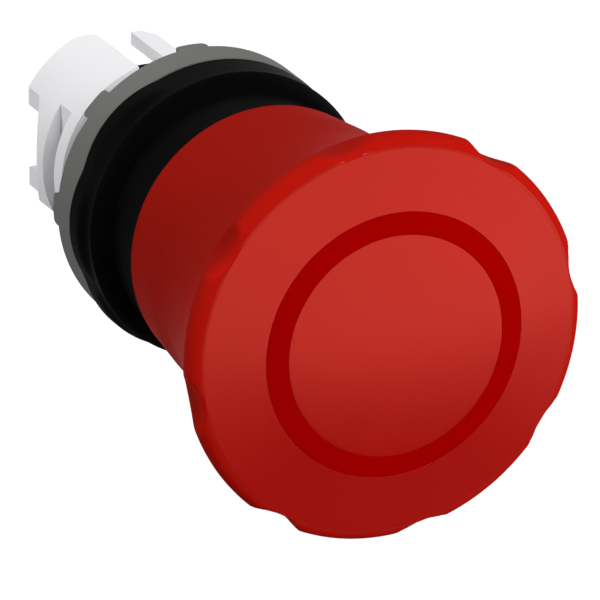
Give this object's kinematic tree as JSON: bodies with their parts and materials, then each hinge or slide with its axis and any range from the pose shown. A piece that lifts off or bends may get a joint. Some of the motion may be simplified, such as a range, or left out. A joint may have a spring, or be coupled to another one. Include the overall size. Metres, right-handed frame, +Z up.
{
  "type": "emergency stop button head",
  "caption": "Mushroom-head emergency stop operator for a round panel hole: the red mushroom slides in, latches, and is pulled back out to release.",
  "frame": {"origin": "on the push axis, in the plane of the panel's front face, where the ends of the gasket's sealing lip and teeth lie", "axes": "+Y along the push stroke, into the panel; the mushroom faces -Y; +Z up, with the key of the barrel at the top; +X to the right seen from the front"},
  "size_m": [0.04, 0.064, 0.04],
  "materials": {
    "red_plastic": "satin moulded red plastic",
    "ring_plastic": "matt dark red plastic",
    "black_plastic": "satin moulded black plastic",
    "grey_rubber": "matt grey rubber",
    "white_plastic": "matt white glass-filled plastic",
    "shaft_plastic": "natural acetal, satin",
    "black_rubber": "matt black rubber",
    "screw_steel": "zinc-plated steel",
    "spring_steel": "bright spring steel"
  },
  "bodies": {
    "operator_base": {"bezel": "black_plastic", "gasket": "grey_rubber", "bayonet_body": "white_plastic", "plunger_seal": "black_rubber", "seal_retainer": "black_plastic", "latch_housing": "shaft_plastic", "latch_clip_front": "spring_steel", "latch_clip_rear": "spring_steel", "latch_cover": "black_plastic", "latch_retainer": "spring_steel", "spring_washer": "screw_steel", "return_spring": "spring_steel"},
    "plunger_unit": {"cap_shell": "red_plastic", "cap_face": "red_plastic", "marker_ring": "ring_plastic", "cap_screw": "screw_steel", "cap_washer": "screw_steel", "plunger": "shaft_plastic", "plunger_stop_ring": "spring_steel", "contact_pusher": "shaft_plastic", "pusher_screw": "screw_steel", "pusher_washer": "screw_steel"}
  },
  "joints": [
    {"name": "cap_push", "type": "slide", "parent": "operator_base", "child": "plunger_unit", "axis": [0, 1, 0], "range_m": [0, 0.0052], "deforming": ["return_spring", "latch_clip_front", "latch_clip_rear"]}
  ]
}
